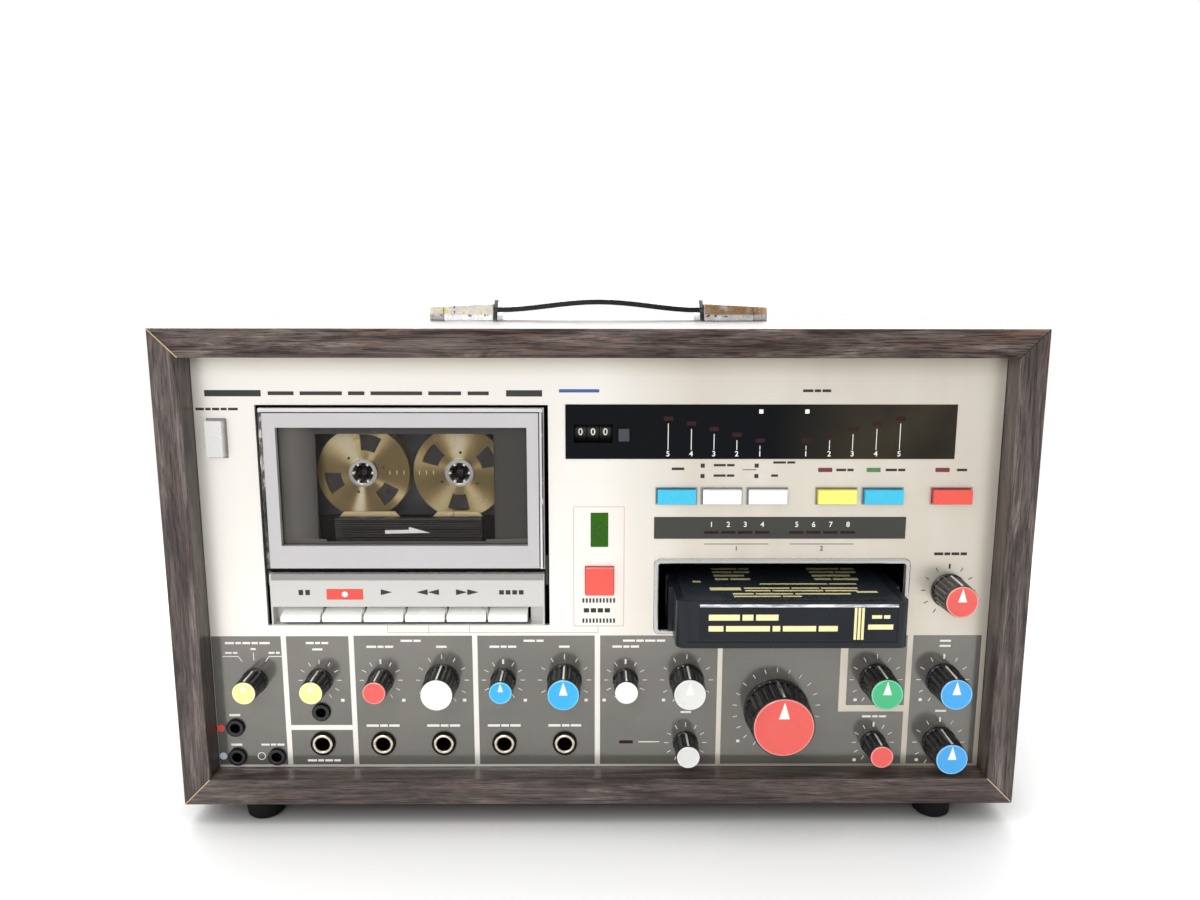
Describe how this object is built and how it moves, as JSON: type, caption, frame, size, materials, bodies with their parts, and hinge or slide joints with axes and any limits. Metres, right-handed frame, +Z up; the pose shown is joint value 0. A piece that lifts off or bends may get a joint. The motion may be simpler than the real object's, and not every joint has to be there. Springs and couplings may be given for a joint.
{
  "type": "8 track player",
  "caption": "Wood-cased stereo karaoke deck with an 8-track cartridge slot, a cassette recorder, microphone mixer knobs, level display and carrying handle",
  "frame": {"origin": "Middle of the bounding box in plan, on the plane that the four feet stand on", "axes": "+X right as the user faces the panel, +Y from the panel to the back, +Z up"},
  "size_m": [0.372, 0.283, 0.2334],
  "materials": {
    "rosewood_vinyl": "dark grey-brown rosewood grain under a satin vinyl film",
    "hardboard": "dark pressed hardboard, matt",
    "foot_rubber": "black moulded rubber, matt",
    "zinc_steel": "zinc-plated sheet steel",
    "silver_panel": "horizontally brushed anodised aluminium, slightly glossy",
    "handle_chrome": "worn bright plating",
    "strap_black": "black glossy strap",
    "black_plastic": "black moulded plastic, fine texture",
    "door_silver": "silver paint on plastic, satin",
    "smoked_window": "smoked clear plastic",
    "shell_smoke": "smoke-tinted clear plastic",
    "reel_gold": "gold anodised aluminium, polished",
    "housing_silver": "satin silver",
    "key_white": "white moulded plastic, smooth",
    "eject_silver": "pale silver plastic",
    "bezel_silver": "satin silver moulding",
    "cartridge_black": "black moulded plastic with a fine texture",
    "window_black": "black glossy window",
    "counter_wheel": "black wheel with white digits",
    "button_grey": "grey plastic",
    "button_blue": "blue plastic",
    "button_white": "white plastic",
    "button_yellow": "yellow plastic",
    "button_red": "red plastic",
    "jack_black": "black socket with a nickel ring",
    "knob_black": "black fluted plastic with a coloured cap"
  },
  "bodies": {
    "cabinet": {"cabinet_top": "rosewood_vinyl", "cabinet_bottom": "rosewood_vinyl", "cabinet_sides": "rosewood_vinyl", "back_cover": "hardboard", "feet": "foot_rubber", "chassis_tray": "zinc_steel", "front_panel": "silver_panel", "handle_end_caps": "handle_chrome", "handle_strap": "strap_black", "deck_well": "black_plastic", "key_housing": "housing_silver", "slot_bezel": "bezel_silver", "cartridge_guide": "black_plastic", "display_windows": "window_black", "counter_frame": "black_plastic", "potentiometers": "zinc_steel", "jack_sockets": "jack_black", "mains_inlet": "black_plastic"},
    "door": {"cassette_door": "door_silver", "door_window": "smoked_window", "cassette_holder": "black_plastic", "cassette_shell": "shell_smoke"},
    "takeup_spindle": {"takeup_spindle": "black_plastic"},
    "takeup_reel": {"takeup_reel": "reel_gold"},
    "supply_spindle": {"supply_spindle": "black_plastic"},
    "supply_reel": {"supply_reel": "reel_gold"},
    "counter_hundreds_wheel": {"counter_hundreds_wheel": "counter_wheel"},
    "counter_tens_wheel": {"counter_tens_wheel": "counter_wheel"},
    "counter_units_wheel": {"counter_units_wheel": "counter_wheel"},
    "stop_key": {"stop_key": "key_white"},
    "record_key": {"record_key": "key_white"},
    "play_key": {"play_key": "key_white"},
    "rewind_key": {"rewind_key": "key_white"},
    "fast_forward_key": {"fast_forward_key": "key_white"},
    "pause_key": {"pause_key": "key_white"},
    "song_select_button": {"song_select_button": "button_blue"},
    "tape_type_button": {"tape_type_button": "button_white"},
    "side_button": {"side_button": "button_white"},
    "cue_button": {"cue_button": "button_yellow"},
    "start_button": {"start_button": "button_blue"},
    "power_button": {"power_button": "button_red"},
    "auto_select_button": {"auto_select_button": "button_red"},
    "eject_button": {"eject_button": "eject_silver"},
    "counter_reset_button": {"counter_reset_button": "button_grey"},
    "mode_knob": {"mode_knob": "knob_black"},
    "earphone_knob": {"earphone_knob": "knob_black"},
    "mic1_pan_knob": {"mic1_pan_knob": "knob_black"},
    "mic1_volume_knob": {"mic1_volume_knob": "knob_black"},
    "mic2_pan_knob": {"mic2_pan_knob": "knob_black"},
    "mic2_volume_knob": {"mic2_volume_knob": "knob_black"},
    "wireless_pan_knob": {"wireless_pan_knob": "knob_black"},
    "wireless_volume_knob": {"wireless_volume_knob": "knob_black"},
    "tuning_knob": {"tuning_knob": "knob_black"},
    "master_volume_knob": {"master_volume_knob": "knob_black"},
    "echo_knob": {"echo_knob": "knob_black"},
    "balance_knob": {"balance_knob": "knob_black"},
    "treble_knob": {"treble_knob": "knob_black"},
    "bass_knob": {"bass_knob": "knob_black"},
    "tape_speed_knob": {"tape_speed_knob": "knob_black"},
    "cartridge": {"cartridge": "cartridge_black"}
  },
  "joints": [
    {"name": "door_hinge", "type": "hinge", "parent": "cabinet", "child": "door", "pos_m": [-0.0849, -0.1133, 0.11], "axis": [1, 0, 0], "range_deg": [0, 38]},
    {"name": "takeup_spindle_turn", "type": "hinge", "parent": "cabinet", "child": "takeup_spindle", "pos_m": [-0.06175, -0.0975, 0.1582], "axis": [0, 1, 0], "continuous": true},
    {"name": "takeup_reel_turn", "type": "hinge", "parent": "door", "child": "takeup_reel", "pos_m": [-0.06175, -0.0975, 0.1582], "axis": [0, 1, 0], "continuous": true},
    {"name": "supply_spindle_turn", "type": "hinge", "parent": "cabinet", "child": "supply_spindle", "pos_m": [-0.10425, -0.0975, 0.1582], "axis": [0, 1, 0], "continuous": true},
    {"name": "supply_reel_turn", "type": "hinge", "parent": "door", "child": "supply_reel", "pos_m": [-0.10425, -0.0975, 0.1582], "axis": [0, 1, 0], "continuous": true},
    {"name": "counter_hundreds_wheel_turn", "type": "hinge", "parent": "cabinet", "child": "counter_hundreds_wheel", "pos_m": [-0.0083, -0.1077, 0.1767], "axis": [1, 0, 0], "continuous": true},
    {"name": "counter_tens_wheel_turn", "type": "hinge", "parent": "cabinet", "child": "counter_tens_wheel", "pos_m": [-0.0029, -0.1077, 0.1767], "axis": [1, 0, 0], "continuous": true},
    {"name": "counter_units_wheel_turn", "type": "hinge", "parent": "cabinet", "child": "counter_units_wheel", "pos_m": [0.0025, -0.1077, 0.1767], "axis": [1, 0, 0], "continuous": true},
    {"name": "stop_key_press", "type": "hinge", "parent": "cabinet", "child": "stop_key", "pos_m": [-0.13235, -0.0989, 0.096], "axis": [1, 0, 0], "range_deg": [0, 5], "stiffness_Nm_per_rad": 0.4, "springref_deg": -5.73},
    {"name": "record_key_press", "type": "hinge", "parent": "cabinet", "child": "record_key", "pos_m": [-0.114, -0.0989, 0.096], "axis": [1, 0, 0], "range_deg": [0, 5], "stiffness_Nm_per_rad": 0.4, "springref_deg": -5.73},
    {"name": "play_key_press", "type": "hinge", "parent": "cabinet", "child": "play_key", "pos_m": [-0.09565, -0.0989, 0.096], "axis": [1, 0, 0], "range_deg": [0, 5], "stiffness_Nm_per_rad": 0.4, "springref_deg": -5.73},
    {"name": "rewind_key_press", "type": "hinge", "parent": "cabinet", "child": "rewind_key", "pos_m": [-0.0773, -0.0989, 0.096], "axis": [1, 0, 0], "range_deg": [0, 5], "stiffness_Nm_per_rad": 0.4, "springref_deg": -5.73},
    {"name": "fast_forward_key_press", "type": "hinge", "parent": "cabinet", "child": "fast_forward_key", "pos_m": [-0.05895, -0.0989, 0.096], "axis": [1, 0, 0], "range_deg": [0, 5], "stiffness_Nm_per_rad": 0.4, "springref_deg": -5.73},
    {"name": "pause_key_press", "type": "hinge", "parent": "cabinet", "child": "pause_key", "pos_m": [-0.0406, -0.0989, 0.096], "axis": [1, 0, 0], "range_deg": [0, 5], "stiffness_Nm_per_rad": 0.4, "springref_deg": -5.73},
    {"name": "song_select_button_press", "type": "slide", "parent": "cabinet", "child": "song_select_button", "axis": [0, 1, 0], "range_m": [0, 0.003], "stiffness_N_per_m": 300, "springref_m": -0.003},
    {"name": "tape_type_button_press", "type": "slide", "parent": "cabinet", "child": "tape_type_button", "axis": [0, 1, 0], "range_m": [0, 0.003], "stiffness_N_per_m": 300, "springref_m": -0.003},
    {"name": "side_button_press", "type": "slide", "parent": "cabinet", "child": "side_button", "axis": [0, 1, 0], "range_m": [0, 0.003], "stiffness_N_per_m": 300, "springref_m": -0.003},
    {"name": "cue_button_press", "type": "slide", "parent": "cabinet", "child": "cue_button", "axis": [0, 1, 0], "range_m": [0, 0.003], "stiffness_N_per_m": 300, "springref_m": -0.003},
    {"name": "start_button_press", "type": "slide", "parent": "cabinet", "child": "start_button", "axis": [0, 1, 0], "range_m": [0, 0.003], "stiffness_N_per_m": 300, "springref_m": -0.003},
    {"name": "power_button_press", "type": "slide", "parent": "cabinet", "child": "power_button", "axis": [0, 1, 0], "range_m": [0, 0.003], "stiffness_N_per_m": 300, "springref_m": -0.003},
    {"name": "auto_select_button_press", "type": "slide", "parent": "cabinet", "child": "auto_select_button", "axis": [0, 1, 0], "range_m": [0, 0.003], "stiffness_N_per_m": 300, "springref_m": -0.003},
    {"name": "eject_button_press", "type": "slide", "parent": "cabinet", "child": "eject_button", "axis": [0, 1, 0], "range_m": [0, 0.003], "stiffness_N_per_m": 300, "springref_m": -0.003},
    {"name": "counter_reset_button_press", "type": "slide", "parent": "cabinet", "child": "counter_reset_button", "axis": [0, 1, 0], "range_m": [0, 0.0015], "stiffness_N_per_m": 300, "springref_m": -0.003},
    {"name": "mode_knob_turn", "type": "hinge", "parent": "cabinet", "child": "mode_knob", "pos_m": [-0.1551, -0.1255, 0.0643], "axis": [0, 1, 0], "range_deg": [-30, 30]},
    {"name": "earphone_knob_turn", "type": "hinge", "parent": "cabinet", "child": "earphone_knob", "pos_m": [-0.12595, -0.1255, 0.0643], "axis": [0, 1, 0], "range_deg": [-150, 150]},
    {"name": "mic1_pan_knob_turn", "type": "hinge", "parent": "cabinet", "child": "mic1_pan_knob", "pos_m": [-0.0984, -0.1255, 0.0643], "axis": [0, 1, 0], "range_deg": [-150, 150]},
    {"name": "mic1_volume_knob_turn", "type": "hinge", "parent": "cabinet", "child": "mic1_volume_knob", "pos_m": [-0.07085, -0.1255, 0.0643], "axis": [0, 1, 0], "range_deg": [-150, 150]},
    {"name": "mic2_pan_knob_turn", "type": "hinge", "parent": "cabinet", "child": "mic2_pan_knob", "pos_m": [-0.0433, -0.1255, 0.0643], "axis": [0, 1, 0], "range_deg": [-150, 150]},
    {"name": "mic2_volume_knob_turn", "type": "hinge", "parent": "cabinet", "child": "mic2_volume_knob", "pos_m": [-0.01575, -0.1255, 0.0643], "axis": [0, 1, 0], "range_deg": [-150, 150]},
    {"name": "wireless_pan_knob_turn", "type": "hinge", "parent": "cabinet", "child": "wireless_pan_knob", "pos_m": [0.0118, -0.1255, 0.0643], "axis": [0, 1, 0], "range_deg": [-150, 150]},
    {"name": "wireless_volume_knob_turn", "type": "hinge", "parent": "cabinet", "child": "wireless_volume_knob", "pos_m": [0.03935, -0.1255, 0.0643], "axis": [0, 1, 0], "range_deg": [-150, 150]},
    {"name": "tuning_knob_turn", "type": "hinge", "parent": "cabinet", "child": "tuning_knob", "pos_m": [0.03935, -0.1255, 0.0339], "axis": [0, 1, 0], "range_deg": [-150, 150]},
    {"name": "master_volume_knob_turn", "type": "hinge", "parent": "cabinet", "child": "master_volume_knob", "pos_m": [0.0804, -0.1255, 0.0499], "axis": [0, 1, 0], "range_deg": [-150, 150]},
    {"name": "echo_knob_turn", "type": "hinge", "parent": "cabinet", "child": "echo_knob", "pos_m": [0.1252, -0.1255, 0.0643], "axis": [0, 1, 0], "range_deg": [-150, 150]},
    {"name": "balance_knob_turn", "type": "hinge", "parent": "cabinet", "child": "balance_knob", "pos_m": [0.1252, -0.1255, 0.0339], "axis": [0, 1, 0], "range_deg": [-150, 150]},
    {"name": "treble_knob_turn", "type": "hinge", "parent": "cabinet", "child": "treble_knob", "pos_m": [0.1554, -0.1255, 0.0643], "axis": [0, 1, 0], "range_deg": [-150, 150]},
    {"name": "bass_knob_turn", "type": "hinge", "parent": "cabinet", "child": "bass_knob", "pos_m": [0.1554, -0.1255, 0.0339], "axis": [0, 1, 0], "range_deg": [-150, 150]},
    {"name": "tape_speed_knob_turn", "type": "hinge", "parent": "cabinet", "child": "tape_speed_knob", "pos_m": [0.155, -0.1255, 0.1064], "axis": [0, 1, 0], "range_deg": [-150, 150]},
    {"name": "cartridge_slide", "type": "slide", "parent": "cabinet", "child": "cartridge", "axis": [0, -1, 0], "range_m": [0, 0.1]}
  ],
  "couplings": [
    {"joint": "takeup_spindle_turn", "follows": "takeup_reel_turn", "ratio": 1},
    {"joint": "supply_spindle_turn", "follows": "takeup_reel_turn", "ratio": 1},
    {"joint": "supply_reel_turn", "follows": "takeup_reel_turn", "ratio": 1},
    {"joint": "counter_hundreds_wheel_turn", "follows": "takeup_reel_turn", "ratio": 0.0005},
    {"joint": "counter_tens_wheel_turn", "follows": "takeup_reel_turn", "ratio": 0.005},
    {"joint": "counter_units_wheel_turn", "follows": "takeup_reel_turn", "ratio": 0.05}
  ]
}
